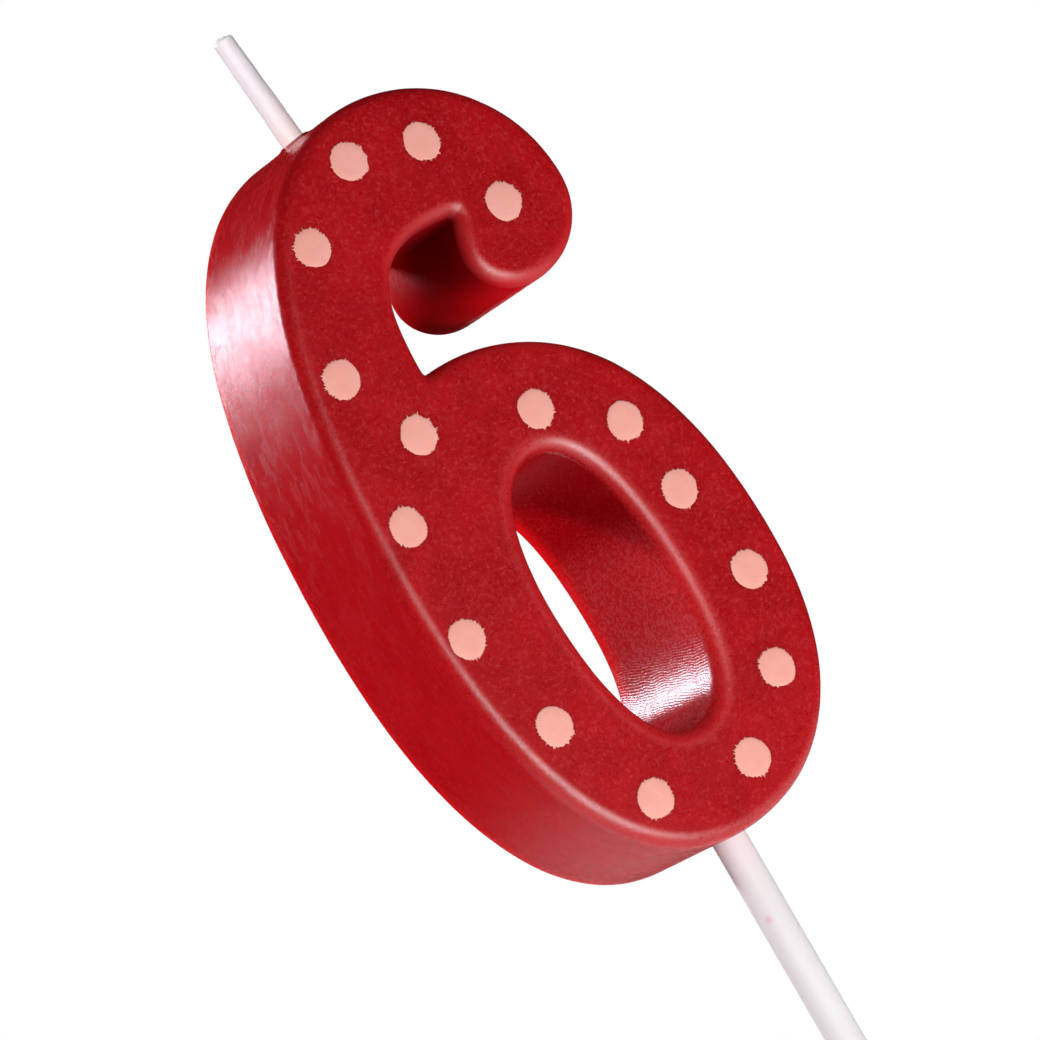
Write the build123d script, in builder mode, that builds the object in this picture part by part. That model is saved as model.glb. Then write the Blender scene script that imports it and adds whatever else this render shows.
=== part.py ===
from build123d import *

import os
from math import cos, radians, sin

# Birthday candle in the shape of the numeral 6, on a pick that is pushed into a cake.
#
# Frame, in millimetres: +Z is up, the decorated face looks towards -Y, and the origin is on the pick's axis,
# level with the foot of the numeral, which is where the top of the cake comes.

# Wax numeral
THICKNESS = 15.0
FRONT_ROUND = 1.35  # soft edge round the decorated face
BACK_ROUND = 0.4  # open side of the mould, nearly sharp
CORNER_ROUND = 0.4  # the two inside corners, down the depth of the wax
COUNTER_TAPER = 5.0  # degrees, the bowl's hole narrows towards the back

# The outline as a type designer draws it: each node with the handle it arrives by and the handle it leaves by.
# Every handle is measured from its node. Clockwise, seen from the front.
OUTLINE = [
    # (x, z), arriving handle, leaving handle
    ((-7.2, 46.1), (-0.1, 9.4), (7.7, 1.0)),  # notch where the bowl springs from the stem
    ((15.0, 20.3), (0.0, 23.7), (0.0, -12.5)),  # right side of the bowl
    ((-2.2, 0.0), (10.4, 0.0), (-11.7, 0.0)),  # foot
    ((-20.0, 31.0), (0.0, -18.0), (0.0, 22.3)),  # back of the stem
    ((0.0, 69.2), (-14.0, 0.0), (8.1, 0.0)),  # crown
    ((14.7, 55.6), (0.0, 7.5), (0.0, -3.8)),  # right side of the terminal
    ((7.1, 48.7), (4.3, 0.0), (-2.8, 0.0)),  # underside of the terminal
    ((2.0, 52.9), (0.0, -2.4), (0.0, 1.5)),  # left side of the terminal
    ((3.3, 56.8), (-0.3, -0.4), (-7.4, 0.9)),  # sharp corner inside the hook
]
NOTCH = 0
HOOK_CORNER = 8
COUNTER = [
    ((-2.1, 36.0), (-3.6, 0.0), (4.3, 0.0)),
    ((4.2, 21.1), (0.0, 8.7), (0.0, -6.8)),
    ((-1.7, 9.6), (4.1, 0.0), (-4.1, 0.0)),
    ((-8.0, 24.5), (0.0, -8.7), (0.0, 6.7)),
]

# Dots of pink wax on the face, from the terminal round the stem, the foot and the bowl
DOT_RADIUS = 1.74
DOT_THICKNESS = 0.12
DOT_CENTRES = [
    (7.7, 55.8), (3.6, 63.5), (-3.6, 64.8), (-10.9, 59.8),
    (-14.8, 49.1), (-16.4, 35.8), (-16.9, 25.4), (-13.8, 15.6),
    (-8.9, 6.2), (1.4, 4.9), (8.0, 10.3), (10.5, 18.6),
    (8.5, 27.4), (7.2, 34.7), (0.1, 39.2), (-11.1, 42.0),
]

# Wick: a cotton core in a coat of white wax, set a little askew in the crown
WICK_FOOT = (-2.7, 0.0, 68.9)
WICK_LEAN = 5.9  # degrees towards -X
WICK_EXPOSED = 10.8
WICK_EMBEDDED = 9.0
CORE_RADIUS = 0.6
CORE_SHOWING = 0.1  # bare cotton beyond the coat
COAT_FOOT_RADIUS = 1.08
COAT_TIP_RADIUS = 0.92
COAT_TIP_ROUND = 0.25
COAT_SUNK = 1.2
LIP_FOOT_RADIUS = 1.9  # wax drawn up round the wick
LIP_TOP_RADIUS = 1.35
LIP_SUNK = 0.6
LIP_HEIGHT = 0.45

# Pick
PICK_RADIUS = 1.55
PICK_FREE = 45.0
SHOULDER_DROP = 0.1  # the full radius starts this far under the foot, clear of the wax
GRIP_RADIUS = 1.3
GRIP_LENGTH = 7.5  # held in the wax
GRIP_GROOVES = 3
GROOVE_DEPTH = 0.25
GROOVE_WIDTH = 0.8
POINT_LENGTH = 8.0
POINT_RADIUS = 0.5
POINT_ROUND = 0.3

FRONT = Plane.XZ.offset(THICKNESS / 2)
WICK_PLANE = Plane(
    origin=WICK_FOOT,
    x_dir=(cos(radians(WICK_LEAN)), 0, sin(radians(WICK_LEAN))),
    z_dir=(-sin(radians(WICK_LEAN)), 0, cos(radians(WICK_LEAN))),
)


def draw_outline(nodes):
    """Adds one Bezier curve from each node to the next, round to the first."""
    for (start, _, leave), (end, arrive, _) in zip(nodes, nodes[1:] + nodes[:1]):
        start_handle = (start[0] + leave[0], start[1] + leave[1])
        end_handle = (end[0] + arrive[0], end[1] + arrive[1])
        Bezier(start, start_handle, end_handle, end)


def finish(piece, name):
    """Names a sub-part and writes it."""
    piece.part.label = name
    export_step(piece.part, f"parts/{name}.step")


os.makedirs("parts", exist_ok=True)

# The pick is turned from one profile: grooved grip, round shank, point.
with BuildPart() as pick:
    with BuildSketch(Plane.XZ):
        with BuildLine():
            Polyline(
                (0, GRIP_LENGTH),
                (GRIP_RADIUS, GRIP_LENGTH),
                (GRIP_RADIUS, -SHOULDER_DROP),
                (PICK_RADIUS, -SHOULDER_DROP),
                (PICK_RADIUS, POINT_LENGTH - PICK_FREE),
                (POINT_RADIUS, -PICK_FREE),
                (0, -PICK_FREE),
                close=True,
            )
        make_face()
    revolve(axis=Axis.Z)
    groove_pitch = GRIP_LENGTH / (GRIP_GROOVES + 1)
    for groove in range(1, GRIP_GROOVES + 1):
        with BuildSketch(Plane.XZ):
            with Locations((GRIP_RADIUS, groove * groove_pitch)):
                Rectangle(2 * GROOVE_DEPTH, GROOVE_WIDTH)
        revolve(axis=Axis.Z, mode=Mode.SUBTRACT)
    fillet(pick.faces().sort_by(Axis.Z)[0].edges(), POINT_ROUND)
finish(pick, "pick")

with BuildPart() as wick_core:
    with BuildSketch(WICK_PLANE.offset(-WICK_EMBEDDED)):
        Circle(CORE_RADIUS)
    extrude(amount=WICK_EMBEDDED + WICK_EXPOSED)
finish(wick_core, "wick_core")

with BuildPart() as wick_coat:
    with BuildSketch(WICK_PLANE.offset(-COAT_SUNK)):
        Circle(COAT_FOOT_RADIUS)
    with BuildSketch(WICK_PLANE.offset(WICK_EXPOSED - CORE_SHOWING)):
        Circle(COAT_TIP_RADIUS)
    loft()
    fillet(wick_coat.faces().sort_by(Axis.Z)[-1].edges(), COAT_TIP_ROUND)
    add(wick_core.part, mode=Mode.SUBTRACT)
finish(wick_coat, "wick_coat")

# The wax is cast round the pick and the wick, so they leave their own shapes in it.
with BuildPart() as numeral_body:
    with BuildSketch(FRONT):
        with BuildLine():
            draw_outline(OUTLINE)
        make_face()
    extrude(amount=-THICKNESS)
    for x, z in (OUTLINE[NOTCH][0], OUTLINE[HOOK_CORNER][0]):
        upright_edges = numeral_body.edges().filter_by(Axis.Y)
        fillet(upright_edges.sort_by_distance((x, 0, z))[0], CORNER_ROUND)
    with BuildSketch(FRONT):
        with BuildLine():
            draw_outline(COUNTER)
        make_face()
    extrude(amount=-THICKNESS, taper=COUNTER_TAPER, mode=Mode.SUBTRACT)
    fillet(numeral_body.faces().sort_by(Axis.Y)[0].edges(), FRONT_ROUND)
    fillet(numeral_body.faces().sort_by(Axis.Y)[-1].edges(), BACK_ROUND)
    with BuildSketch(WICK_PLANE.offset(-LIP_SUNK)):
        Circle(LIP_FOOT_RADIUS)
    with BuildSketch(WICK_PLANE.offset(LIP_HEIGHT)):
        Circle(LIP_TOP_RADIUS)
    loft()
    add([pick.part, wick_core.part, wick_coat.part], mode=Mode.SUBTRACT)
finish(numeral_body, "numeral_body")

for number, centre in enumerate(DOT_CENTRES, start=1):
    with BuildPart() as dot:
        with BuildSketch(FRONT):
            with Locations(centre):
                Circle(DOT_RADIUS)
        extrude(amount=DOT_THICKNESS)
    finish(dot, f"dot_{number:02d}")
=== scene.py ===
import math

import bmesh
import bpy
import numpy as np
from mathutils import Matrix, Vector, noise
from mathutils.geometry import delaunay_2d_cdt


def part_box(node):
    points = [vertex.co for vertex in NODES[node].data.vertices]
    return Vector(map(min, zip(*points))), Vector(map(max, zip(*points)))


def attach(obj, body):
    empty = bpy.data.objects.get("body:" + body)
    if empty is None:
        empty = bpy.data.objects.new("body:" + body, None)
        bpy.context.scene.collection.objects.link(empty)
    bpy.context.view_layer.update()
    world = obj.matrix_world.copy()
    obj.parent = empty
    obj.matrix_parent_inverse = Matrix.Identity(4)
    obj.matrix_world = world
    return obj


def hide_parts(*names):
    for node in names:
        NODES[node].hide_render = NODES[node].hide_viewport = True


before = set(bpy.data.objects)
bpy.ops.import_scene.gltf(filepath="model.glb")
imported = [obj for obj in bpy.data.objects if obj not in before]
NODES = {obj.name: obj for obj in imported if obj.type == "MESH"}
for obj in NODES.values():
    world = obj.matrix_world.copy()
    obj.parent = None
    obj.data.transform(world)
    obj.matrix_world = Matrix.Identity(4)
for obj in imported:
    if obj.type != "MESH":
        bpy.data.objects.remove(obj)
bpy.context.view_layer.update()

# Lengths are in millimetres, and go to metres where a mesh, a light or the camera is made.
MM = 0.001


def node_box(name):
    """The lowest and highest corners of a CAD node, in mm."""
    low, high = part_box(name)
    return np.array(low) / MM, np.array(high) / MM


# ---------------------------------------------------------------- materials


def add_node(tree, kind, inputs=None, **properties):
    """Adds a shader node. An input is a value or the socket that feeds it."""
    made = tree.nodes.new("ShaderNode" + kind)
    for key, value in properties.items():
        setattr(made, key, value)
    for key, value in (inputs or {}).items():
        if isinstance(value, bpy.types.NodeSocket):
            tree.links.new(value, made.inputs[key])
        else:
            made.inputs[key].default_value = value
    return made


def math_node(tree, operation, first, second=0.0, third=0.0):
    return add_node(tree, "Math", {0: first, 1: second, 2: third}, operation=operation).outputs[0]


def product(tree, first, second):
    return math_node(tree, "MULTIPLY", first, second)


def add_scaled(tree, base, value, factor):
    """base + value * factor."""
    return math_node(tree, "MULTIPLY_ADD", value, factor, base)


def map_range(tree, value, low, high, to_low=0.0, to_high=1.0):
    """A smooth step from one value to another."""
    sockets = {"Value": value, "From Min": low, "From Max": high, "To Min": to_low, "To Max": to_high}
    return add_node(tree, "MapRange", sockets, interpolation_type="SMOOTHSTEP").outputs[0]


def mix_number(tree, factor, first, second):
    return add_node(tree, "Mix", {0: factor, 2: first, 3: second}, data_type="FLOAT").outputs[0]


def mix_colour(tree, factor, first, second):
    return add_node(tree, "Mix", {0: factor, 6: first, 7: second}, data_type="RGBA").outputs[2]


def paint_over(tree, colour, layers):
    """Mixes more colours over the first. Each layer is its strength and its colour."""
    for strength, paint in layers:
        colour = mix_colour(tree, strength, colour, paint)
    return colour


def coordinates(tree, attribute=None, scale=(1.0, 1.0, 1.0)):
    """Object coordinates, or a mesh attribute, in mm and scaled along its three directions."""
    if attribute:
        source = add_node(tree, "Attribute", attribute_name=attribute).outputs["Vector"]
        factor = scale
    else:
        source = add_node(tree, "TexCoord").outputs["Object"]
        factor = [value / MM for value in scale]
    return add_node(tree, "VectorMath", {0: source, 1: factor}, operation="MULTIPLY").outputs[0]


def coordinate(tree, axis, attribute=None):
    """One of the coordinates, in mm."""
    return add_node(tree, "SeparateXYZ", {0: coordinates(tree, attribute)}).outputs[axis]


def noise_texture(tree, vector, scale=1.0, detail=2.0, roughness=0.5, distortion=0.0):
    sockets = {
        "Vector": vector,
        "Scale": scale,
        "Detail": detail,
        "Roughness": roughness,
        "Distortion": distortion,
    }
    return add_node(tree, "TexNoise", sockets).outputs[0]


def mask(tree, attribute):
    return add_node(tree, "Attribute", attribute_name=attribute).outputs["Fac"]


def bump(tree, height, distance_mm, strength=1.0, normal=None):
    sockets = {"Height": height, "Distance": distance_mm * MM, "Strength": strength}
    if normal:
        sockets["Normal"] = normal
    return add_node(tree, "Bump", sockets).outputs[0]


def new_material(name, settings):
    """A material whose Principled shader has these settings. Returns it, its tree and its shader."""
    material = bpy.data.materials.new(name)
    material.use_nodes = True
    tree = material.node_tree
    shader = tree.nodes["Principled BSDF"]
    for key, value in settings.items():
        shader.inputs[key].default_value = value
    return material, tree, shader


# The red wax's colours, each linear red, green, blue and alpha
WAX_DARK_CLOUD = (0.40, 0.0010, 0.0042, 1.0)
WAX_PALE_CLOUD = (0.47, 0.0026, 0.0070, 1.0)
WAX_BLOTCH = (0.53, 0.016, 0.022, 1.0)
WAX_GRAIN = (0.60, 0.040, 0.046, 1.0)
# From here on the colours are painted light and shade: lighter outer walls, a lit lower counter wall with
# pale sheen specks, brighter soft edges in the openings, a glow towards the open back, and dark painted
# shade
WAX_PAINTED_LIGHT_OUTSIDE = (0.66, 0.0040, 0.0090, 1.0)
WAX_PAINTED_LIGHT_IN_COUNTER = (0.80, 0.012, 0.018, 1.0)
WAX_PAINTED_SHEEN = (0.80, 0.10, 0.12, 1.0)
WAX_PAINTED_LIGHT_ON_EDGES = (0.64, 0.016, 0.022, 1.0)
WAX_PAINTED_BACK_GLOW = (0.92, 0.009, 0.015, 1.0)
WAX_PAINTED_SHADE = (0.12, 0.0003, 0.0026, 1.0)

WAX_GLOSS = 0.38
WAX_DULL_GLOSS = 0.02
# Below these heights the counter's wall is painted as lit, above them it is dull
COUNTER_TOP = (23.0, 29.0)  # heights between which the counter's lit wall turns into its dull top, in mm
# A painted glow: the walls are painted brighter towards the open back, as if lit through the wax from
# behind
BACK_GLOW_DEPTHS = (5.8, 7.9)  # depths between which the walls brighten towards the back, in mm
BACK_GLOW_SHIFT = 0.9  # the counter's wall brightens this much earlier
RIPPLE_PITCH = 0.25  # mm


class WaxMaps:
    """The masks and textures that the wax's looks have in common. A mask is a share from 0 to 1."""

    def __init__(self, tree):
        self.wall = mask(tree, "wall")
        self.counter = mask(tree, "counter")
        self.rim = mask(tree, "rim")
        self.hook = mask(tree, "hook")
        self.face = math_node(tree, "SUBTRACT", 1.0, self.wall)
        self.outside = product(tree, self.wall, math_node(tree, "SUBTRACT", 1.0, self.counter))
        self.in_hook = product(tree, self.wall, self.hook)
        self.in_counter = product(tree, self.wall, self.counter)
        # The lower part of the counter's wall is painted as lit by the strip lamp, and its top is made dull
        top = map_range(tree, coordinate(tree, "Z"), *COUNTER_TOP)
        self.counter_top = product(tree, self.in_counter, top)
        self.counter_lit = math_node(tree, "SUBTRACT", self.in_counter, self.counter_top)

        self.place = coordinates(tree)
        self.grain = noise_texture(tree, self.place, 3.4, 5.0, 0.72)
        # Scuffs on the face: short scratches with no one direction
        self.scuffs = noise_texture(tree, coordinates(tree, scale=(1.4, 1.4, 5.0)), 1.1, 5.0, 0.7, 1.2)
        self.pits = noise_texture(tree, self.place, 4.4, 4.0, 0.72)
        # Drag marks along the walls, from sliding out of the mould
        self.lines = noise_texture(tree, coordinates(tree, "along", (0.14, 0.14, 6.0)), 1.0, 4.0, 0.65)
        self.specks = noise_texture(tree, coordinates(tree, "along", (1.3, 1.3, 6.0)), 1.0, 4.0, 0.7)


def wax_colour(tree, maps):
    """Clouds, paler blotches and a fine grain, with painted light and shade: dark inside the hook, over the
    counter's top and under the terminal, and brighter towards the open back.
    """
    clouds = noise_texture(tree, maps.place, 0.16, 3.0, 0.55, 0.6)
    blotches = noise_texture(tree, maps.place, 0.55, 3.0, 0.6, 0.8)
    # painted sheen specks for the lit part of the counter's wall
    painted_sheen_specks = map_range(tree, maps.grain, 0.44, 0.58, 0.0, 0.5)
    # the soft edges in the counter and the hook, to be painted brighter as if lit
    painted_light_edges = product(tree, maps.rim, math_node(tree, "MAXIMUM", maps.counter, maps.hook))
    # where the painted glow towards the open back begins
    behind = add_scaled(tree, coordinate(tree, "Y"), maps.counter, BACK_GLOW_SHIFT)
    painted_back_glow = map_range(tree, behind, *BACK_GLOW_DEPTHS, 0.0, 0.85)
    # painted shade on the walls
    painted_shade = product(tree, maps.wall, mask(tree, "painted_shade"))
    colour = mix_colour(tree, map_range(tree, clouds, 0.36, 0.66), WAX_DARK_CLOUD, WAX_PALE_CLOUD)
    return paint_over(tree, colour, (
        (map_range(tree, blotches, 0.5, 0.7, 0.0, 0.35), WAX_BLOTCH),
        (map_range(tree, maps.grain, 0.5, 0.68, 0.0, 0.7), WAX_GRAIN),
        # painted light: the outer walls are painted lighter, standing in for the light that falls on them
        (product(tree, maps.outside, 0.6), WAX_PAINTED_LIGHT_OUTSIDE),
        # painted light: the lower part of the counter's wall, below the painted shadow, is painted as lit
        (product(tree, maps.counter_lit, 0.55), WAX_PAINTED_LIGHT_IN_COUNTER),
        # painted sheen: pale specks over the lit part of the counter's wall
        (product(tree, maps.counter_lit, painted_sheen_specks), WAX_PAINTED_SHEEN),
        # painted light: the soft edges in the counter and the hook are painted brighter
        (product(tree, painted_light_edges, 0.5), WAX_PAINTED_LIGHT_ON_EDGES),
        # painted glow: the walls, but not the hook, are painted brighter towards the open back
        (product(tree, math_node(tree, "SUBTRACT", maps.wall, maps.in_hook), painted_back_glow), WAX_PAINTED_BACK_GLOW),
        # painted shade: dark inside the hook, over the top of the counter's wall and under the terminal
        (product(tree, painted_shade, 0.78), WAX_PAINTED_SHADE),
    ))


def wax_gloss(tree, maps):
    """Duller in the hook and in the top of the counter, glossier on the soft edges."""
    dull = math_node(tree, "MAXIMUM", maps.in_hook, maps.counter_top)
    gloss = map_range(tree, dull, 0.0, 1.0, WAX_GLOSS, WAX_DULL_GLOSS)
    gloss = add_scaled(tree, gloss, maps.rim, 0.85)
    return add_scaled(tree, gloss, maps.counter_lit, 0.25)


def wax_roughness(tree, maps):
    """Scuffed on the face, patchy and dragged on the outer walls, grained in the counter."""
    scuffed = add_scaled(tree, product(tree, maps.scuffs, 0.5), maps.pits, 0.7)
    on_face = map_range(tree, scuffed, 0.46, 0.76, 0.25, 0.47)
    patches = noise_texture(tree, coordinates(tree, "along", (0.35, 0.35, 0.8)), 1.0, 3.0, 0.6, 0.8)
    patchy = add_scaled(tree, product(tree, maps.specks, 0.6), patches, 0.8)
    outside = map_range(tree, patchy, 0.56, 0.84, 0.15, 0.31)
    in_counter = map_range(tree, maps.grain, 0.42, 0.6, 0.2, 0.29)
    on_wall = mix_number(tree, maps.counter, outside, in_counter)
    roughness = mix_number(tree, maps.wall, on_face, on_wall)
    roughness = add_scaled(tree, roughness, maps.in_hook, 0.3)
    return add_scaled(tree, roughness, maps.in_counter, 0.03)


def ripple_height(tree, maps):
    """Fine wavering ripples across the lower part of the counter's wall."""
    slant = add_scaled(tree, mask(tree, "run"), coordinate(tree, "Z", "along"), -0.15)
    waver = add_scaled(tree, slant, noise_texture(tree, maps.place, 0.35, 2.0), 0.9)
    waver = add_scaled(tree, waver, noise_texture(tree, maps.place, 1.5, 1.0), 0.11)
    ripple = math_node(tree, "SINE", product(tree, waver, 2.0 * math.pi / RIPPLE_PITCH))
    straight = map_range(tree, maps.wall, 0.93, 1.0)
    where = product(tree, straight, product(tree, maps.counter, mask(tree, "ripple")))
    return product(tree, ripple, where)


def wax_normal(tree, maps):
    """Scuffs on the face, swells and drag lines on the outer walls, grain off the face, and the ripples."""
    swells = noise_texture(tree, coordinates(tree, "along", (0.28, 0.28, 0.5)), 1.0, 2.0, 0.5)
    dragged = product(tree, maps.outside, math_node(tree, "SUBTRACT", 1.0, maps.hook))
    fine_grain = noise_texture(tree, maps.place, 5.0, 2.0, 0.6)
    layers = (
        # height, its depth in mm, and its strength
        (product(tree, add_scaled(tree, maps.scuffs, maps.pits, 0.6), maps.face), 0.03, 0.6),
        (product(tree, swells, maps.outside), 0.03, 1.0),
        (product(tree, add_scaled(tree, maps.specks, maps.lines, 0.5), dragged), 0.040, 0.8),
        (product(tree, fine_grain, math_node(tree, "MAXIMUM", maps.wall, maps.rim)), 0.026, 0.9),
        (ripple_height(tree, maps), 0.0045, 0.8),
    )
    normal = None
    for height, distance, strength in layers:
        normal = bump(tree, height, distance, strength, normal)
    return normal


def wax_material():
    """Deep red translucent wax."""
    settings = {
        "IOR": 1.44,
        "Specular IOR Level": WAX_GLOSS,
        "Subsurface Weight": 1.0,
        "Subsurface Radius": (1.0, 0.13, 0.11),
        "Subsurface Scale": 1.4 * MM,
        "Subsurface Anisotropy": 0.0,
    }
    material, tree, shader = new_material("red_wax", settings)
    maps = WaxMaps(tree)
    tree.links.new(wax_colour(tree, maps), shader.inputs["Base Color"])
    tree.links.new(wax_gloss(tree, maps), shader.inputs["Specular IOR Level"])
    tree.links.new(wax_roughness(tree, maps), shader.inputs["Roughness"])
    tree.links.new(wax_normal(tree, maps), shader.inputs["Normal"])
    return material


def dot_material():
    """Matt salmon wax, printed in a thin layer."""
    settings = {
        "Roughness": 0.62,
        "IOR": 1.42,
        "Specular IOR Level": 0.25,
    }
    material, tree, shader = new_material("salmon_wax", settings)
    tone = map_range(tree, noise_texture(tree, coordinates(tree), 0.5, 3.0), 0.3, 0.7)
    screen = noise_texture(tree, coordinates(tree, scale=(0.9, 2.0, 6.0)), 1.2, 3.0, 0.6)
    colour = mix_colour(tree, tone, (0.90, 0.395, 0.325, 1.0), (0.93, 0.435, 0.365, 1.0))
    streaks = map_range(tree, screen, 0.5, 0.75, 0.0, 0.35)
    colour = mix_colour(tree, streaks, colour, (0.88, 0.36, 0.29, 1.0))
    tree.links.new(colour, shader.inputs["Base Color"])
    tree.links.new(bump(tree, screen, 0.03, 0.35), shader.inputs["Normal"])
    return material


# The coat's change of colour with height is painted light
COAT_PAINTED_LIGHT_HEIGHTS = (2.5, 8.0)  # heights over the coat's foot between which its colour changes, in mm


def coat_material(foot):
    """White wax over the wick, with painted light: brighter and warmer near the numeral, where the crown
    shades the wick, and faintly lilac towards the tip.
    """
    settings = {
        "Roughness": 0.38,
        "IOR": 1.44,
        "Subsurface Weight": 0.25,
        "Subsurface Radius": (1.0, 0.9, 0.9),
        "Subsurface Scale": 0.4 * MM,
    }
    material, tree, shader = new_material("white_wax", settings)
    patch = noise_texture(tree, coordinates(tree, scale=(1.0, 1.0, 0.35)), 0.9, 3.0, 0.6, 0.5)
    # painted light: brighter and warmer near the foot, which the crown shades, and faintly lilac higher up
    uneven_height = add_scaled(tree, coordinate(tree, "Z"), patch, 3.0)
    rise = map_range(tree, uneven_height, foot + COAT_PAINTED_LIGHT_HEIGHTS[0], foot + COAT_PAINTED_LIGHT_HEIGHTS[1])
    colour = mix_colour(tree, rise, (0.95, 0.83, 0.82, 1.0), (0.90, 0.83, 0.875, 1.0))
    fibres = noise_texture(tree, coordinates(tree, scale=(2.5, 2.5, 0.5)), 1.2, 2.0, 0.5)
    fibres_seen = map_range(tree, fibres, 0.5, 0.75, 0.0, 0.3)
    colour = mix_colour(tree, fibres_seen, colour, (0.86, 0.80, 0.82, 1.0))
    tree.links.new(colour, shader.inputs["Base Color"])
    tree.links.new(bump(tree, fibres, 0.012, 0.3), shader.inputs["Normal"])
    return material


def cotton_material():
    """Twisted white cotton."""
    material, tree, shader = new_material("cotton", {"Roughness": 0.9, "Sheen Weight": 0.3})
    twist = noise_texture(tree, coordinates(tree, scale=(5.0, 5.0, 1.5)), 1.0, 2.0, 0.5)
    tone = map_range(tree, twist, 0.4, 0.65)
    colour = mix_colour(tree, tone, (0.82, 0.78, 0.79, 1.0), (0.93, 0.90, 0.92, 1.0))
    tree.links.new(colour, shader.inputs["Base Color"])
    tree.links.new(bump(tree, twist, 0.03, 0.5), shader.inputs["Normal"])
    return material


SMUDGE = (-1.2, -0.95, -7.8)  # a smudge of red wax on the pick, in mm
SMUDGE_REACH = 0.5
STAIN = (-3.0, 0.3)  # heights between which the pick takes on a trace of the wax's colour


def pick_material():
    """White moulded plastic with faint flow marks, and a trace of red wax near the numeral."""
    settings = {
        "IOR": 1.49,
        "Specular IOR Level": 0.25,
        "Subsurface Weight": 0.9,
        "Subsurface Radius": (1.0, 0.9, 0.9),
        "Subsurface Scale": 1.2 * MM,
    }
    material, tree, shader = new_material("white_plastic", settings)
    flow = noise_texture(tree, coordinates(tree, scale=(0.8, 0.8, 0.12)), 0.8, 3.0)
    tone = map_range(tree, flow, 0.35, 0.65)
    stain = map_range(tree, coordinate(tree, "Z"), *STAIN, 0.0, 0.05)
    away = add_node(tree, "VectorMath", {0: coordinates(tree), 1: SMUDGE}, operation="DISTANCE")
    smudge = map_range(tree, away.outputs["Value"], SMUDGE_REACH, 0.1, 0.0, 0.3)
    colour = mix_colour(tree, tone, (0.76, 0.745, 0.755, 1.0), (0.79, 0.775, 0.785, 1.0))
    colour = mix_colour(tree, stain, colour, (0.75, 0.30, 0.30, 1.0))
    colour = mix_colour(tree, smudge, colour, (0.85, 0.22, 0.28, 1.0))
    tree.links.new(colour, shader.inputs["Base Color"])
    scratches = noise_texture(tree, coordinates(tree, scale=(3.0, 3.0, 0.4)), 1.5, 3.0, 0.6)
    tree.links.new(map_range(tree, scratches, 0.35, 0.7, 0.42, 0.55), shader.inputs["Roughness"])
    tree.links.new(bump(tree, scratches, 0.02, 0.3), shader.inputs["Normal"])
    return material


TABLE_RADIUS = 150.0


def table_material():
    """A pale, dull table top that fades out towards its edge."""
    material, tree, shader = new_material("pale_table", {"Roughness": 0.7})
    level = coordinates(tree, scale=(1.0, 1.0, 0.0))
    reach = add_node(tree, "VectorMath", {0: level}, operation="LENGTH").outputs["Value"]
    speckle = noise_texture(tree, coordinates(tree), 0.3, 3.0)
    colour = mix_colour(tree, speckle, (0.78, 0.77, 0.76, 1.0), (0.83, 0.82, 0.81, 1.0))
    fade = map_range(tree, reach, TABLE_RADIUS * 0.6, TABLE_RADIUS * 0.99, 1.0, 0.0)
    tree.links.new(colour, shader.inputs["Base Color"])
    tree.links.new(fade, shader.inputs["Alpha"])
    return material


# ---------------------------------------------------------------- pieces


def new_object(name, mesh, material, node):
    """Makes the mesh an object that stands for a CAD node."""
    mesh.materials.append(material)
    for polygon in mesh.polygons:
        polygon.use_smooth = True
    piece = bpy.data.objects.new(name, mesh)
    bpy.context.scene.collection.objects.link(piece)
    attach(piece, "root")
    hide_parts(node)
    return piece


def mesh_from(name, points, faces, attributes=None):
    """A mesh from points in mm, with its normals facing out and its attributes on its points."""
    mesh = bpy.data.meshes.new(name)
    mesh.from_pydata([tuple(point) for point in np.asarray(points) * MM], [], faces)
    for key, values in (attributes or {}).items():
        values = np.asarray(values, dtype=np.float32)
        if values.ndim == 1:
            layer = mesh.attributes.new(key, "FLOAT", "POINT")
            layer.data.foreach_set("value", values)
        else:
            layer = mesh.attributes.new(key, "FLOAT_VECTOR", "POINT")
            layer.data.foreach_set("vector", values.ravel())
    sheet = bmesh.new()
    sheet.from_mesh(mesh)
    bmesh.ops.recalc_face_normals(sheet, faces=sheet.faces)
    sheet.to_mesh(mesh)
    sheet.free()
    return mesh


MERGE_DISTANCE = 1e-6  # in metres
DEPTH_TOLERANCE = 2e-3
SHORTEST_LOOP = 20  # points


def loops_at(node, depth):
    """The closed loops of a CAD node's mesh that lie at one depth y, each as an array of (x, z) in mm.

    The tallest loop comes first.
    """
    sheet = bmesh.new()
    sheet.from_mesh(node.data)
    bmesh.ops.remove_doubles(sheet, verts=sheet.verts, dist=MERGE_DISTANCE)
    near = {vert for vert in sheet.verts if abs(vert.co.y / MM - depth) < DEPTH_TOLERANCE}
    loops = []
    while near:
        vert = near.pop()
        loop = [vert]
        while True:
            neighbours = [edge.other_vert(vert) for edge in vert.link_edges]
            following = [other for other in neighbours if other in near]
            if not following:
                break
            vert = following[0]
            near.discard(vert)
            loop.append(vert)
        loops.append(np.array([(vert.co.x / MM, vert.co.z / MM) for vert in loop]))
    sheet.free()
    loops = [loop for loop in loops if len(loop) > SHORTEST_LOOP]
    return sorted(loops, key=lambda loop: -np.ptp(loop[:, 1]))


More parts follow.
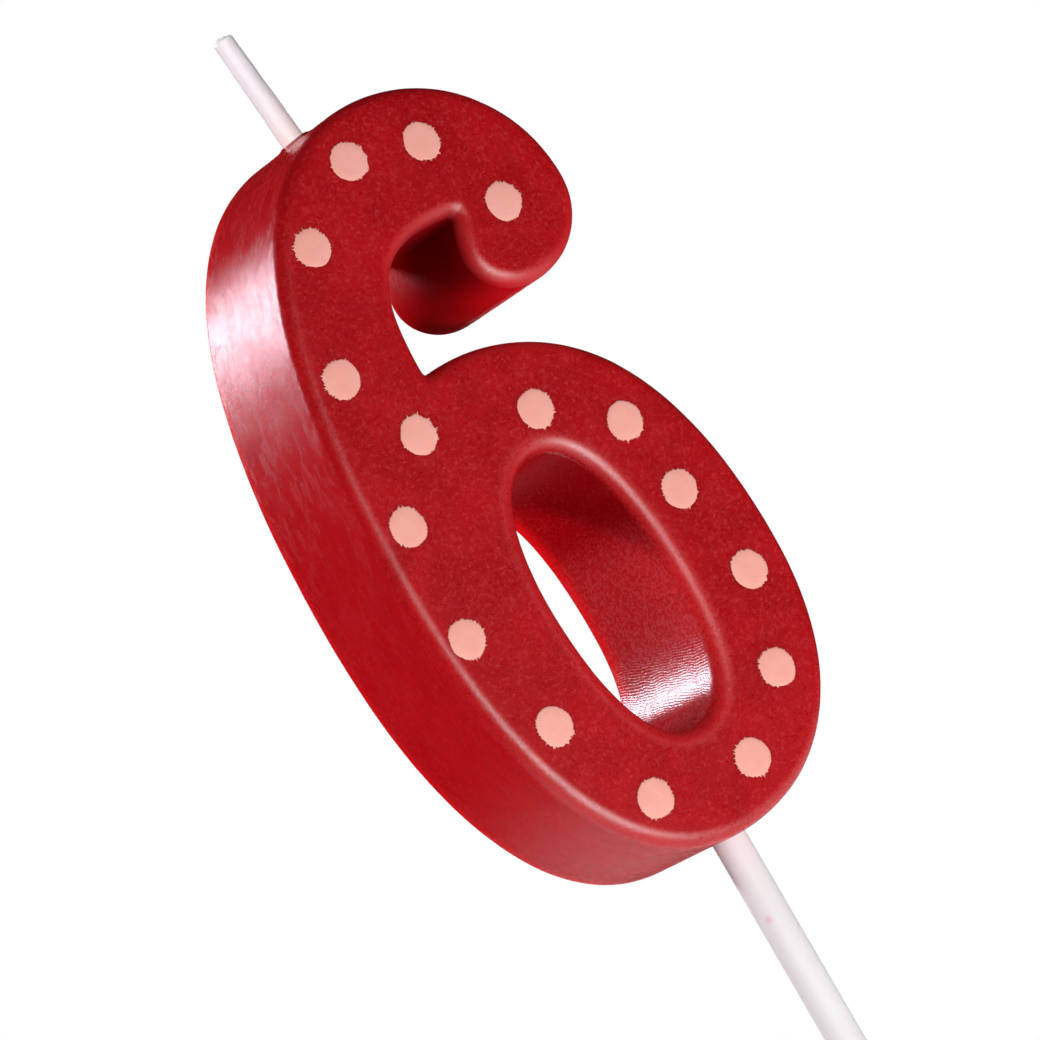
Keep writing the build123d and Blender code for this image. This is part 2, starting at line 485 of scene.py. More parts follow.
class ClosedSpline:
    """A smooth closed curve through the points."""

    def __init__(self, points):
        self.points = points
        steps = np.linalg.norm(np.roll(points, -1, axis=0) - points, axis=1)
        self.knots = np.concatenate([[0.0], np.cumsum(steps)])
        self.length = self.knots[-1]
        count = len(points)
        matrix = np.zeros((count, count))
        target = np.zeros((count, 2))
        for i in range(count):
            before, after = steps[i - 1], steps[i]
            matrix[i, i - 1] += before
            matrix[i, i] += 2.0 * (before + after)
            matrix[i, (i + 1) % count] += after
            ahead = (points[(i + 1) % count] - points[i]) / after
            behind = (points[i] - points[i - 1]) / before
            target[i] = 6.0 * (ahead - behind)
        self.bend = np.linalg.solve(matrix, target)

    def at(self, run):
        """Positions, first and second derivatives at distances along the curve."""
        run = np.mod(run, self.length)
        i = np.clip(np.searchsorted(self.knots, run, side="right") - 1, 0, len(self.points) - 1)
        j = (i + 1) % len(self.points)
        step = (self.knots[i + 1] - self.knots[i])[:, None]
        b = ((run - self.knots[i])[:, None]) / step
        a = 1.0 - b
        p, q, m, n = self.points[i], self.points[j], self.bend[i], self.bend[j]
        place = a * p + b * q + ((a**3 - a) * m + (b**3 - b) * n) * step**2 / 6.0
        first = (q - p) / step + ((1.0 - 3.0 * a**2) * m + (3.0 * b**2 - 1.0) * n) * step / 6.0
        return place, first, a * m + b * n


def smooth_ring(values, reach):
    """A moving average round a closed ring."""
    kernel = np.ones(2 * reach + 1) / (2 * reach + 1)
    return np.convolve(np.concatenate([values[-reach:], values, values[:reach]]), kernel, "valid")


class Rail:
    """One closed edge of the numeral, resampled finely, with its normals into the wax.

    mitre is how much further than the inset a point of an inside corner goes, so that two soft edges meet
    in a crease there.
    """

    SAMPLE = 0.02  # the edge is first sampled at this step
    TURN = 0.16  # radians between points on a bend
    FINEST = 0.05
    COARSEST = 0.3
    SPACING_REACHES = (30, 8)  # samples to each side, over which the spacing is averaged
    BEND_REACH = 3
    CORNER_BEND = 1.4  # per mm, tighter than any bend of the outline but its inside corners
    WIDEST_CREASE = 1.2  # radians to each side of a crease

    def __init__(self, loop, hole, mitre_share):
        area = np.sum(loop[:, 0] * np.roll(loop[:, 1], -1) - np.roll(loop[:, 0], -1) * loop[:, 1])
        if area < 0:
            loop = loop[::-1]
        # the loop starts anywhere, and differs from run to run, so it is turned to start at its top
        loop = np.roll(loop, -int(np.argmax(loop[:, 1])), axis=0)
        spline = ClosedSpline(loop)
        fine = np.arange(0.0, spline.length, self.SAMPLE)
        _, first, second = spline.at(fine)
        speed = np.linalg.norm(first, axis=1)
        bend = (first[:, 0] * second[:, 1] - first[:, 1] * second[:, 0]) / speed**3
        spacing = np.clip(self.TURN / (np.abs(bend) + 1e-6), self.FINEST, self.COARSEST)
        wide, narrow = self.SPACING_REACHES
        spacing = np.minimum(smooth_ring(spacing, wide), smooth_ring(spacing, narrow))
        travel = np.concatenate([[0.0], np.cumsum(self.SAMPLE / spacing)])
        count = int(round(travel[-1]))
        marks = np.interp(np.arange(count) * travel[-1] / count, travel, np.append(fine, spline.length))
        self.places, first, _ = spline.at(marks)
        first /= np.linalg.norm(first, axis=1)[:, None]
        # counterclockwise, so the left of the outline and the right of the hole are wax
        side = -1.0 if hole else 1.0
        self.normals = side * np.stack([-first[:, 1], first[:, 0]], axis=1)
        self.run = marks
        self.length = spline.length
        self.count = count
        self.mitre = np.ones(count)
        sharp = np.interp(marks, fine, smooth_ring(bend, self.BEND_REACH)) * side < -self.CORNER_BEND
        self.crease(sharp, first, mitre_share)

    def crease(self, sharp, tangents, share):
        """Sets the mitre of each run of sharp points."""
        angles = np.unwrap(np.arctan2(tangents[:, 1], tangents[:, 0]))
        starts = [i for i in range(self.count) if sharp[i] and not sharp[i - 1]]
        for start in starts:
            end = start
            while sharp[(end + 1) % self.count]:
                end += 1
            inside = np.arange(start, end + 1) % self.count
            turned = np.abs(angles[inside] - angles[inside[0]])
            half = turned[-1] / 2.0
            extend = 1.0 / np.cos(np.clip(half - np.abs(turned - half), 0.0, self.WIDEST_CREASE))
            self.mitre[inside] = 1.0 + share * (extend - 1.0)


GRID_GAP = 0.6  # of the pitch, kept between the rings and the grid


def fill_ring(rings, pitch):
    """Fills the space between closed rings of (x, z) with triangles, on a hexagonal grid of points.

    Returns the grid's points and the triangles, which count the rings' points first and then the grid's.
    """
    outline = np.vstack(rings)
    low, high = outline.min(axis=0), outline.max(axis=0)
    rows = np.arange(low[1], high[1], pitch * math.sqrt(3.0) / 2.0)
    grid = [
        (x, z)
        for index, z in enumerate(rows)
        for x in np.arange(low[0] + (index % 2) * pitch / 2.0, high[0], pitch)
    ]
    grid = np.array(grid)

    def inside(spots):
        result = np.zeros(len(spots), bool)
        for ring in rings:
            after = np.roll(ring, -1, axis=0)
            for (x0, z0), (x1, z1) in zip(ring, after):
                crosses = (z0 > spots[:, 1]) != (z1 > spots[:, 1])
                if not crosses.any():
                    continue
                edge_x = x0 + (spots[:, 1] - z0) / (z1 - z0 + 1e-12) * (x1 - x0)
                result ^= crosses & (spots[:, 0] < edge_x)
        return result

    gap = np.array([np.min(np.sum((outline - spot) ** 2, axis=1)) for spot in grid])
    grid = grid[inside(grid) & (gap > (GRID_GAP * pitch) ** 2)]
    edges, base = [], 0
    for ring in rings:
        edges += [(base + i, base + (i + 1) % len(ring)) for i in range(len(ring))]
        base += len(ring)
    spots = np.vstack([outline, grid])
    made = delaunay_2d_cdt([Vector(spot) for spot in spots], edges, [], 0, 1e-7)
    coords, triangles, origin = made[0], made[2], made[3]
    centres = np.array([sum((coords[i] for i in tri), Vector((0.0, 0.0))) / 3.0 for tri in triangles])
    keep = inside(centres)
    faces = [tuple(origin[i][0] for i in tri) for tri, kept in zip(triangles, keep) if kept]
    return grid, faces


# The numeral, with the sizes that part.py gives it
FRONT_ROUND = 1.35
BACK_ROUND = 0.4
COUNTER_TAPER = 5.0  # degrees
WICK_FOOT = Vector((-2.7, 0.0, 68.9))
WICK_LEAN = math.radians(5.9)
WICK_AXIS = Vector((-math.sin(WICK_LEAN), 0.0, math.cos(WICK_LEAN)))

# Its mesh
MITRE_SHARE = 0.75
FRONT_ROWS = 12  # rows of points round the soft edge of the face
BACK_ROWS = 7
WALL_PITCH = 0.25
FACE_PITCH = 0.6
BACK_PITCH = 0.9


def wall_profile(lean, front_y, back_y):
    """The wall's section, from face to back. lean is how far it leans out of the wax towards the back.

    Each row is its depth, how far it lies into the wax from the face's own outline, and its share of soft
    edge. The second result is the first row on the straight wall.
    """
    front_shift = FRONT_ROUND / math.tan((math.pi / 2.0 + lean) / 2.0)
    back_shift = BACK_ROUND / math.tan((math.pi / 2.0 - lean) / 2.0) - math.tan(lean) * (back_y - front_y)
    rows = []
    for angle in np.linspace(math.pi / 2.0, lean, FRONT_ROWS):
        y = front_y + FRONT_ROUND * (1.0 - math.sin(angle))
        rows.append((y, front_shift - FRONT_ROUND * math.cos(angle), math.sin(angle) - math.sin(lean)))
    first_wall = len(rows) - 1
    back_rows = []
    for angle in np.linspace(lean, -math.pi / 2.0, BACK_ROWS):
        y = back_y - BACK_ROUND * (1.0 + math.sin(angle))
        back_rows.append((y, back_shift - BACK_ROUND * math.cos(angle), 0.0))
    start, end = rows[-1], back_rows[0]
    count = int(round((end[0] - start[0]) / WALL_PITCH))
    for share in np.linspace(0.0, 1.0, count + 1)[1:-1]:
        rows.append((start[0] + (end[0] - start[0]) * share, start[1] + (end[1] - start[1]) * share, 0.0))
    return rows + back_rows, first_wall


def smooth_between(values, low, high):
    """0 at low, 1 at high, with soft ends."""
    share = np.clip((np.asarray(values) - low) / (high - low), 0.0, 1.0)
    return share * share * (3.0 - 2.0 * share)


class Skin:
    """The numeral's points and faces as they are made, with what its material reads at each point."""

    def __init__(self):
        self.points = []
        self.faces = []
        self.looks = {"wall": [], "counter": [], "rim": [], "along": [], "run": []}

    def add(self, points, **looks):
        """Adds points. A look is a list, or one value for them all. Returns the points' numbers."""
        first = len(self.points)
        self.points += points
        for key, values in self.looks.items():
            look = looks.get(key, 0.0)
            values += [look] * len(points) if isinstance(look, float) else list(look)
        return list(range(first, len(self.points)))

    def sweep(self, rail, rows, first_wall, counter):
        """Sweeps a rail along the wall's section. Returns its rings at the face and at the back.

        A ring is its (x, z) and its points' numbers.
        """
        radius = rail.length / (2.0 * math.pi)
        turns = rail.run / radius
        rings = []
        for y, inset, soft in rows:
            shift = (inset - rows[first_wall][1]) * rail.mitre
            places = rail.places + rail.normals * shift[:, None]
            numbers = self.add(
                [(x, y, z) for x, z in places],
                along=[(radius * math.cos(turn), radius * math.sin(turn), y) for turn in turns],
                run=rail.run,
                wall=1.0 - soft,
                rim=1.0 - (2.0 * soft - 1.0) ** 8,
                counter=counter,
            )
            rings.append((places, numbers))
        for (_, near), (_, far) in zip(rings, rings[1:]):
            for i, k in zip(range(rail.count), np.roll(range(rail.count), -1)):
                self.faces.append((near[i], near[k], far[k], far[i]))
        return rings[0], rings[-1]

    def close(self, rings, y, pitch):
        """Fills the space between rings at the face or at the back."""
        grid, triangles = fill_ring([places for places, _ in rings], pitch)
        made = self.add([(x, y, z) for x, z in grid], along=[(x, z, y) for x, z in grid])
        numbers = [number for _, ring in rings for number in ring] + made
        self.faces += [tuple(numbers[i] for i in triangle) for triangle in triangles]


# Where the numeral's looks change. A pair is the value where a look starts and the value where it is full.
RIPPLE_TOP = (31.0, 21.0)  # z
RIPPLE_FOOT = (11.0, 11.8)  # z
RIPPLE_LEFT = -2.5  # x
HOOK_MIDDLE = (3.5, 51.5)  # x and z
HOOK_REACH = (12.0, 9.0)  # from its middle
# Painted shade, where the wax is painted dark as if in shadow: a dark core in the hook, a shadow over the
# top of the counter's wall, and a band under the terminal
HOOK_SHADE_CENTRE = (0.5, 55.0)  # x and z
HOOK_SHADE_REACH = (7.5, 3.0)  # from the deepest place
HOOK_SHADE_DEPTH = (7.0, 0.5)  # y
SHADE_HEIGHT = (27.5, 31.0)  # z in the middle of the wax, in the counter
SHADE_SLOPE = 0.9
SHADE_SHARE = 0.55
UNDER_HEIGHT = (53.0, 50.5)  # z, under the terminal
UNDER_SIDE = (1.5, 3.5)  # x
UNDER_DEPTH = (2.5, 6.0)  # y


def placed_looks(points, outer):
    """The looks that depend only on the place: the counter's ripples, the hook, and the painted shade in
    the hook, over the top of the counter's wall and under the terminal.
    """
    x, y, z = points.T
    ripple = smooth_between(z, *RIPPLE_TOP) * (x > RIPPLE_LEFT) * smooth_between(z, *RIPPLE_FOOT)
    hook = smooth_between(np.hypot(x - HOOK_MIDDLE[0], z - HOOK_MIDDLE[1]), *HOOK_REACH) * outer
    # painted shade: a dark core in the hook, darkest towards the back
    painted_shade = smooth_between(np.hypot(x - HOOK_SHADE_CENTRE[0], z - HOOK_SHADE_CENTRE[1]), *HOOK_SHADE_REACH) * outer
    painted_shade = painted_shade * smooth_between(y, *HOOK_SHADE_DEPTH)
    # a painted shadow over the top of the counter's wall, whose edge rises towards the back
    painted_counter_shadow = smooth_between(z - SHADE_SLOPE * y, *SHADE_HEIGHT) * (1.0 - outer)
    # a painted shade under the terminal
    under = smooth_between(z, *UNDER_HEIGHT) * smooth_between(x, *UNDER_SIDE) * hook
    painted_shade = painted_shade + SHADE_SHARE * painted_counter_shadow + under * smooth_between(y, *UNDER_DEPTH)
    return {"ripple": ripple, "hook": hook, "painted_shade": painted_shade}


def numeral_mesh():
    """The wax numeral: two rails swept through the depth of the wax, closed by a face and a back."""
    low, high = node_box("numeral_body")
    skin = Skin()
    fronts, backs = [], []
    for is_hole, lean in ((False, 0.0), (True, math.radians(COUNTER_TAPER))):
        rows, first_wall = wall_profile(lean, low[1], high[1])
        loop = loops_at(NODES["numeral_body"], rows[first_wall][0])[0]
        rail = Rail(loop, is_hole, 0.0 if is_hole else MITRE_SHARE)
        front, back = skin.sweep(rail, rows, first_wall, float(is_hole))
        fronts.append(front)
        backs.append(back)
    skin.close(fronts, low[1], FACE_PITCH)
    skin.close(backs, high[1], BACK_PITCH)
    points = np.array(skin.points)
    looks = {key: np.array(values) for key, values in skin.looks.items()}
    placed = placed_looks(points, looks["counter"] < 0.5)
    mesh = mesh_from("wax_numeral", points, skin.faces, {**looks, **placed})
    roughen(mesh, looks["wall"], looks["along"])
    raise_lip(mesh)
    return mesh


# How far the wax is uneven, and how many ups and downs that has to the millimetre
DENT, DENTS_PER_MM = 0.03, 0.18
PIMPLE, PIMPLES_PER_MM = 0.008, 0.9
DRAG, DRAG_PER_MM = 0.012, (0.07, 0.07, 1.9)  # along the wall, and across its depth


def read_points(mesh, field="co"):
    values = np.empty(3 * len(mesh.vertices), dtype=np.float32)
    mesh.vertices.foreach_get(field, values)
    return values.reshape(-1, 3).astype(float)


def move_points(mesh, places):
    mesh.vertices.foreach_set("co", np.asarray(places, dtype=np.float32).ravel())
    mesh.update()


def roughen(mesh, wall, along):
    """Moves the points of the wax along their normals: dents, small unevenness, drag lines on the walls."""
    places, normals = read_points(mesh), read_points(mesh, "normal")
    heights = np.zeros(len(places))
    for i, (place, share, unrolled) in enumerate(zip(places / MM, wall, along)):
        spot = Vector(place)
        heights[i] = DENT * noise.noise(spot * DENTS_PER_MM) + PIMPLE * noise.noise(spot * PIMPLES_PER_MM)
        if share > 0.0:
            heights[i] += share * DRAG * noise.noise(Vector(unrolled * DRAG_PER_MM))
    move_points(mesh, places + normals * heights[:, None] * MM)


# The lip of wax round the wick
LIP_INNER = 1.15
LIP_OUTER = 1.8
LIP_RISE = 0.2
LIP_DEPTH = 2.5  # the wax is drawn up this far from the wick's foot


def raise_lip(mesh):
    """Draws the wax of the crown up round the wick."""
    places = read_points(mesh)
    axis = np.array(WICK_AXIS)
    arms = places / MM - np.array(WICK_FOOT)
    along = arms @ axis
    radius = np.linalg.norm(arms - along[:, None] * axis, axis=1)
    rise = LIP_RISE * smooth_between(radius, LIP_OUTER, LIP_INNER) * (np.abs(along) < LIP_DEPTH)
    move_points(mesh, places + rise[:, None] * axis * MM)


def swept_rod(path, radii, sides, wobble=None):
    """A closed round rod. path is its centres, radii its radius at each, wobble(angle, i) a factor on that.

    Returns its points and its faces.
    """
    points, faces = [], []
    path = [Vector(centre) for centre in path]
    for i, centre in enumerate(path):
        ahead = path[min(i + 1, len(path) - 1)] - path[max(i - 1, 0)]
        ahead.normalize()
        across = Vector((0.0, 1.0, 0.0)).cross(ahead).normalized()
        other = ahead.cross(across)
        for k in range(sides):
            angle = 2.0 * math.pi * k / sides
            factor = wobble(angle, i) if wobble else 1.0
            points.append(centre + (across * math.cos(angle) + other * math.sin(angle)) * radii[i] * factor)
    for i in range(len(path) - 1):
        for k in range(sides):
            m = (k + 1) % sides
            faces.append((i * sides + k, i * sides + m, (i + 1) * sides + m, (i + 1) * sides + k))
    faces.append(tuple(range(sides)))
    faces.append(tuple((len(path) - 1) * sides + k for k in range(sides)))
    return points, faces


DOT_SEGMENTS = 200
DOT_WAVES = ((2, 0.014), (3, 0.014), (4, 0.010), (5, 0.008), (7, 0.006), (11, 0.005))  # ups and downs, size
DOT_SHRINK = 0.985
HAIRS_TOGETHER = 44  # hairs on one side of the dot, within about HAIR_SPREAD radians
HAIR_SPREAD = 1.1
HAIRS_ANYWHERE = 30
DOT_SUNK = 0.05  # how far the dot goes into the wax
DOT_SWELL = 0.012


def ragged_edge(rng):
    """A dot's radius round its edge, as a share of its own: slow waves and fine hairs of wax."""
    angles = np.linspace(0.0, 2.0 * math.pi, DOT_SEGMENTS, endpoint=False)
    phases = rng.uniform(0.0, 2.0 * math.pi, len(DOT_WAVES))
    edge = np.ones(DOT_SEGMENTS)
    for (order, size), phase in zip(DOT_WAVES, phases):
        edge += size * np.cos(order * angles + phase)
    edge *= DOT_SHRINK / np.mean(edge)
    edge += rng.normal(0.0, 0.005, DOT_SEGMENTS)
    hairy_side = rng.uniform(0.0, 2.0 * math.pi)
    for _ in range(HAIRS_TOGETHER):
        at = rng.normal(hairy_side, HAIR_SPREAD)
        k = int(at / (2.0 * math.pi) * DOT_SEGMENTS) % DOT_SEGMENTS
        edge[k] += rng.uniform(0.02, 0.09)
        edge[(k + 1) % DOT_SEGMENTS] += rng.uniform(0.0, 0.03)
    for _ in range(HAIRS_ANYWHERE):
        k = int(rng.integers(DOT_SEGMENTS))
        edge[k] += rng.uniform(0.01, 0.045)
        edge[(k + 2) % DOT_SEGMENTS] -= rng.uniform(0.01, 0.05)
    return angles, edge


def ring_faces(first, second, count):
    """The faces between two rings of points, given by each ring's first number."""
    following = np.roll(range(count), -1)
    return [(first + k, second + k, second + m, first + m) for k, m in zip(range(count), following)]


def dot_mesh(name, centre, radius, y, thickness, seed):
    """A thin printed dot, slightly domed. y is the depth of the face that it is printed on."""
    angles, edge = ragged_edge(np.random.default_rng(seed))
    points = [(centre[0], y - thickness, centre[1])]
    shares = np.append(np.linspace(0.0, 0.9, 12)[1:], [0.955, 1.0])
    for share in shares:
        reach = radius * share * (1.0 + (edge - 1.0) * share**6)
        lift = thickness * (1.0 - 0.92 * share**5)
        for angle, arm in zip(angles, reach):
            x = centre[0] + arm * math.cos(angle)
            z = centre[1] + arm * math.sin(angle)
            swell = DOT_SWELL * noise.noise(Vector((x * 1.3, seed * 7.0, z * 1.3))) if share < 1.0 else 0.0
            points.append((x, y - lift - swell, z))
    under = len(points)
    points += [(x, y + DOT_SUNK, z) for x, _, z in points[-DOT_SEGMENTS:]]
    faces = [(0, 1 + k, 1 + (k + 1) % DOT_SEGMENTS) for k in range(DOT_SEGMENTS)]
    for first in range(1, under, DOT_SEGMENTS):
        faces += ring_faces(first, first + DOT_SEGMENTS, DOT_SEGMENTS)
    faces.append(tuple(range(under, under + DOT_SEGMENTS)))
    return mesh_from(name, points, faces)


# The wick. A length along it is from WICK_FOOT.
COAT_LENGTH = 10.7
COAT_SUNK = 1.2
COAT_FOOT_RADIUS = 1.08
COAT_TIP_RADIUS = 0.92
COAT_TIP_ROUND = 0.35
COAT_TIP_NARROWS = 0.3
COAT_SIDES = 72
FOLD_ANGLE = 0.9  # radians round the wick
FOLD_WIDTH = 0.16
FOLD_LENGTH = 2.4
FOLD_HEIGHT = 0.09  # of the radius
CORE_RADIUS = 0.56
STRANDS = 3
STRAND_START = -4.0
STRAND_TWIST = 2.2  # radians per mm
CORE_SHOWING = 0.04  # beyond the coat


def coat_mesh():
    """The wick's coat: a tapered sleeve with a rounded tip, dipped by hand, so it is not quite even."""
    round_from = COAT_LENGTH - COAT_TIP_ROUND
    steps = np.concatenate([
        np.linspace(-COAT_SUNK, round_from, 70),
        round_from + COAT_TIP_ROUND * np.sin(np.radians(np.linspace(10, 90, 9))),
    ])
    radii = []
    for step in steps:
        share = (step + COAT_SUNK) / (COAT_LENGTH + COAT_SUNK)
        radius = COAT_FOOT_RADIUS + (COAT_TIP_RADIUS - COAT_FOOT_RADIUS) * share
        over = max(step - round_from, 0.0) / COAT_TIP_ROUND
        radii.append(radius - COAT_TIP_NARROWS * (1.0 - math.sqrt(max(1.0 - over**2, 0.0))))

    def wobble(angle, i):
        spot = Vector((math.cos(angle) * 1.2, math.sin(angle) * 1.2, steps[i] * 0.35))
        uneven = 0.035 * noise.noise(spot) + 0.012 * noise.noise(spot * 4.0)
        aside = (angle - FOLD_ANGLE) / FOLD_WIDTH
        fold = FOLD_HEIGHT * math.exp(-(aside**2) - (max(steps[i], 0.0) / FOLD_LENGTH) ** 2)
        return 1.0 + uneven + fold

    path = [WICK_FOOT + WICK_AXIS * float(step) for step in steps]
    return mesh_from("wick_sleeve", *swept_rod(path, radii, COAT_SIDES, wobble))


def cotton_mesh():
    """The cotton: strands twisted together, seen only at the tip."""
    strand_radius = CORE_RADIUS * 0.5
    points, faces = [], []
    for strand in range(STRANDS):
        start = 2.0 * math.pi * strand / STRANDS
        path = []
        for step in np.linspace(STRAND_START, COAT_LENGTH + CORE_SHOWING, 90):
            angle = start + step * STRAND_TWIST
            side = Vector((math.cos(angle), math.sin(angle), 0.0)) * strand_radius
            path.append(WICK_FOOT + WICK_AXIS * float(step) + side)
        strand_points, strand_faces = swept_rod(path, [strand_radius] * len(path), 14)
        faces += [tuple(len(points) + i for i in face) for face in strand_faces]
        points += strand_points
    return mesh_from("wick_cotton", points, faces)


PICK_POINT = 8.0
PICK_TIP_RADIUS = 0.5
PICK_TIP_ROUND = 0.3
PICK_SHOULDER = -0.1
PICK_IN_WAX = [0.0, 0.6, 1.2]  # heights
PICK_IN_WAX_SHARE = 0.985  # of the pick's radius
PICK_SIDES = 96
SEAM_WIDTH = 0.06
SEAM_HEIGHT = 0.006


def pick_mesh():
    """The pick: a moulded rod with a blunt point and a faint seam down each side."""
    low, high = node_box("pick")
    foot = low[2]
    full_radius = (high[0] - low[0]) / 2.0
    heights = np.concatenate([
        foot + PICK_TIP_ROUND * (1.0 - np.cos(np.radians(np.linspace(0, 90, 7)))),
        np.linspace(foot + PICK_TIP_ROUND, foot + PICK_POINT, 26)[1:],
        np.linspace(foot + PICK_POINT, PICK_SHOULDER, 140)[1:],
        PICK_IN_WAX,
    ])
    radii = []
    for height in heights:
        rise = height - foot
        radius = PICK_TIP_RADIUS + (full_radius - PICK_TIP_RADIUS) * min(rise / PICK_POINT, 1.0)
        if rise < PICK_TIP_ROUND:
            below = PICK_TIP_ROUND - rise
            radius -= PICK_TIP_ROUND - math.sqrt(max(PICK_TIP_ROUND**2 - below**2, 0.0))
        radii.append(radius if height <= PICK_SHOULDER else full_radius * PICK_IN_WAX_SHARE)

    def wobble(angle, i):
        seam = SEAM_HEIGHT * math.exp(-((math.sin(angle) / SEAM_WIDTH) ** 2))
        spot = Vector((math.cos(angle), math.sin(angle), heights[i] * 0.12))
        return 0.992 + seam + 0.004 * noise.noise(spot)

    path = [(0.0, 0.0, float(height)) for height in heights]
    return mesh_from("pick_rod", *swept_rod(path, radii, PICK_SIDES, wobble))


numeral = new_object("wax_numeral", numeral_mesh(), wax_material(), "numeral_body")

salmon = dot_material()
dots = []
for seed, node_name in enumerate(sorted(name for name in NODES if name.startswith("dot_")), start=1):
    low, high = node_box(node_name)
    middle = ((low[0] + high[0]) / 2.0, (low[2] + high[2]) / 2.0)
    piece_name = f"wax_{node_name}"
    mesh = dot_mesh(piece_name, middle, (high[0] - low[0]) / 2.0, high[1], high[1] - low[1], seed)
    dots.append(new_object(piece_name, mesh, salmon, node_name))

coat_foot = node_box("wick_coat")[0][2]
sleeve = new_object("wick_sleeve", coat_mesh(), coat_material(coat_foot), "wick_coat")
cotton = new_object("wick_cotton", cotton_mesh(), cotton_material(), "wick_core")
pick = new_object("pick_rod", pick_mesh(), pick_material(), "pick")

# ---------------------------------------------------------------- stage, lights and camera

TABLE_DROP = 1.0  # under the pick's point
TABLE_SIDES = 128
TABLE_RINGS = (0.25, 0.5, 0.75, 1.0)  # of its radius


def table_mesh(height):
    """A round table top: a flat disc in rings."""
    points = [(0.0, 0.0, height)]
    for share in TABLE_RINGS:
        reach = TABLE_RADIUS * share
        for k in range(TABLE_SIDES):
            angle = 2.0 * math.pi * k / TABLE_SIDES
            points.append((reach * math.cos(angle), reach * math.sin(angle), height))
    faces = [(0, 1 + k, 1 + (k + 1) % TABLE_SIDES) for k in range(TABLE_SIDES)]
    for ring in range(len(TABLE_RINGS) - 1):
        first = 1 + ring * TABLE_SIDES
        faces += ring_faces(first, first + TABLE_SIDES, TABLE_SIDES)
    return mesh_from("table_top", points, faces)


floor_mesh = table_mesh(node_box("pick")[0][2] - TABLE_DROP)
floor_mesh.materials.append(table_material())
floor = bpy.data.objects.new("table_top", floor_mesh)
bpy.context.scene.collection.objects.link(floor)
floor.visible_shadow = False

numeral_low, numeral_high = node_box("numeral_body")
centre = Vector((numeral_low + numeral_high) / 2.0)


def softbox(name, direction, distance, size, radiance, colour=(1.0, 1.0, 1.0), along=(1.0, 0.0, 0.0)):
    """A rectangular lamp that faces the numeral.

    direction is from the numeral to the lamp. size is its width and height, and the width lies as near to
    along as it can.
    """
    lamp = bpy.data.lights.new(name, "AREA")
    lamp.shape = "RECTANGLE"
    lamp.size, lamp.size_y = size[0] * MM, size[1] * MM
    lamp.color = colour
    lamp.energy = radiance * math.pi * lamp.size * lamp.size_y
    item = bpy.data.objects.new(name, lamp)
    towards = Vector(direction).normalized()
    item.location = (centre + towards * distance) * MM
    up = towards.cross(Vector(along)).normalized()
    item.rotation_euler = Matrix((up.cross(towards), up, towards)).transposed().to_euler()
    bpy.context.scene.collection.objects.link(item)
    item.visible_camera = False
    return item


def group(name, members):
    """A collection of objects for a lamp to light, or to be blocked by."""
    made = bpy.data.collections.new(name)
    for item in members:
        made.objects.link(item)
    return made


# The strip draws the long highlights on the left wall and in the counter.
STRIP_ALONG = (-0.869, -0.42, 0.257)
LILAC = (1.0, 0.88, 1.0)
softbox("strip_back_left", (-0.40, 0.79, 0.465), 1100.0, (420.0, 110.0), 58.0, LILAC, STRIP_ALONG)
fill_front = softbox("fill_front", (-0.12, -0.88, -0.44), 600.0, (430.0, 430.0), 6.4)
fill_left = softbox("fill_left", (-0.88, -0.1, 0.45), 600.0, (500.0, 500.0), 1.6)
fill_right = softbox("fill_right", (0.9, -0.1, 0.2), 600.0, (400.0, 400.0), 1.4)
floor_lamp = softbox("floor_lamp", (0.0, 0.0, 1.0), 600.0, (600.0, 600.0), 1.8)
softbox("back_right", (0.5, 0.86, 0.02), 900.0, (250.0, 250.0), 7.0)
top = softbox("top", (0.1, 0.1, 1.0), 600.0, (300.0, 300.0), 1.0)
wick_card = softbox("wick_card", (-0.62, -0.76, 0.15), 600.0, (900.0, 900.0), 2.4)
for lamp in (fill_left, fill_right, top):
    lamp.visible_glossy = False

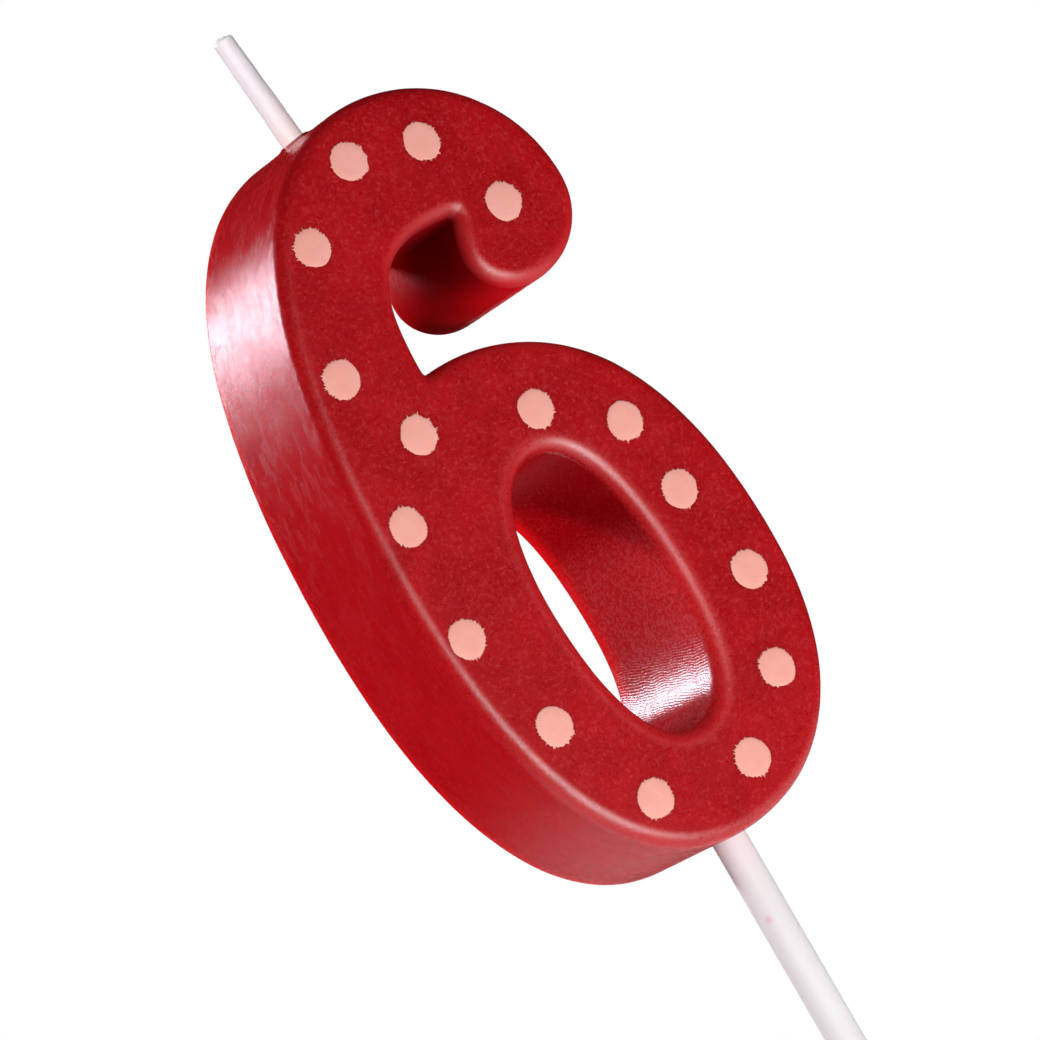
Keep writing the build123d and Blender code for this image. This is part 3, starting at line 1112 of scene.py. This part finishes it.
# The wick is left out of the left and the front fill: it has a card of its own, which the crown doesn't
# shade. The floor lamp lights only the floor.
numeral_and_pick = [numeral, *dots, pick]
wick_only = group("wick_only", [sleeve, cotton])
fill_left.light_linking.receiver_collection = group("numeral_and_pick", numeral_and_pick)
fill_front.light_linking.receiver_collection = group("all_but_wick", numeral_and_pick + [floor])
floor_lamp.light_linking.receiver_collection = group("floor_only", [floor])
wick_card.light_linking.receiver_collection = wick_only
wick_card.light_linking.blocker_collection = wick_only

# The world is white to the camera, and lights the scene only a little.
WORLD_FILL = 0.015
world = bpy.data.worlds.new("studio")
bpy.context.scene.world = world
world.use_nodes = True
world_tree = world.node_tree
world_tree.nodes.clear()
seen = add_node(world_tree, "LightPath").outputs["Is Camera Ray"]
strength = map_range(world_tree, seen, 0.0, 1.0, WORLD_FILL, 1.0)
background = add_node(world_tree, "Background", {"Color": (1.0, 1.0, 1.0, 1.0), "Strength": strength})
add_node(world_tree, "OutputWorld", {"Surface": background.outputs[0]})

# The camera looks slightly up at the candle from its front left, and is tilted over
CAMERA_AZIMUTH = math.radians(31.6)  # from straight on, towards -X
CAMERA_RISE = math.radians(0.7)
CAMERA_ROLL = math.radians(30.1)
CAMERA_DISTANCE = 540.0
CAMERA_LENS = 223.0
AIM_SHIFT = Vector((-1.5, -3.1, -2.9))  # from the middle of the numeral
forward = Vector((
    math.sin(CAMERA_AZIMUTH) * math.cos(CAMERA_RISE),
    math.cos(CAMERA_AZIMUTH) * math.cos(CAMERA_RISE),
    math.sin(CAMERA_RISE),
))
level_right = forward.cross(Vector((0.0, 0.0, 1.0))).normalized()
level_up = level_right.cross(forward)
right = level_right * math.cos(CAMERA_ROLL) - level_up * math.sin(CAMERA_ROLL)
up = level_right * math.sin(CAMERA_ROLL) + level_up * math.cos(CAMERA_ROLL)
camera_data = bpy.data.cameras.new("camera")
camera_data.lens = CAMERA_LENS
camera_data.sensor_width = 36.0
camera_data.clip_start = 0.01
camera = bpy.data.objects.new("camera", camera_data)
bpy.context.scene.collection.objects.link(camera)
turn = Matrix((right, up, -forward)).transposed().to_4x4()
camera.matrix_world = Matrix.Translation((centre + AIM_SHIFT - forward * CAMERA_DISTANCE) * MM) @ turn
bpy.context.scene.camera = camera
bpy.context.scene.view_settings.view_transform = "Standard"

bpy.context.view_layer.update()
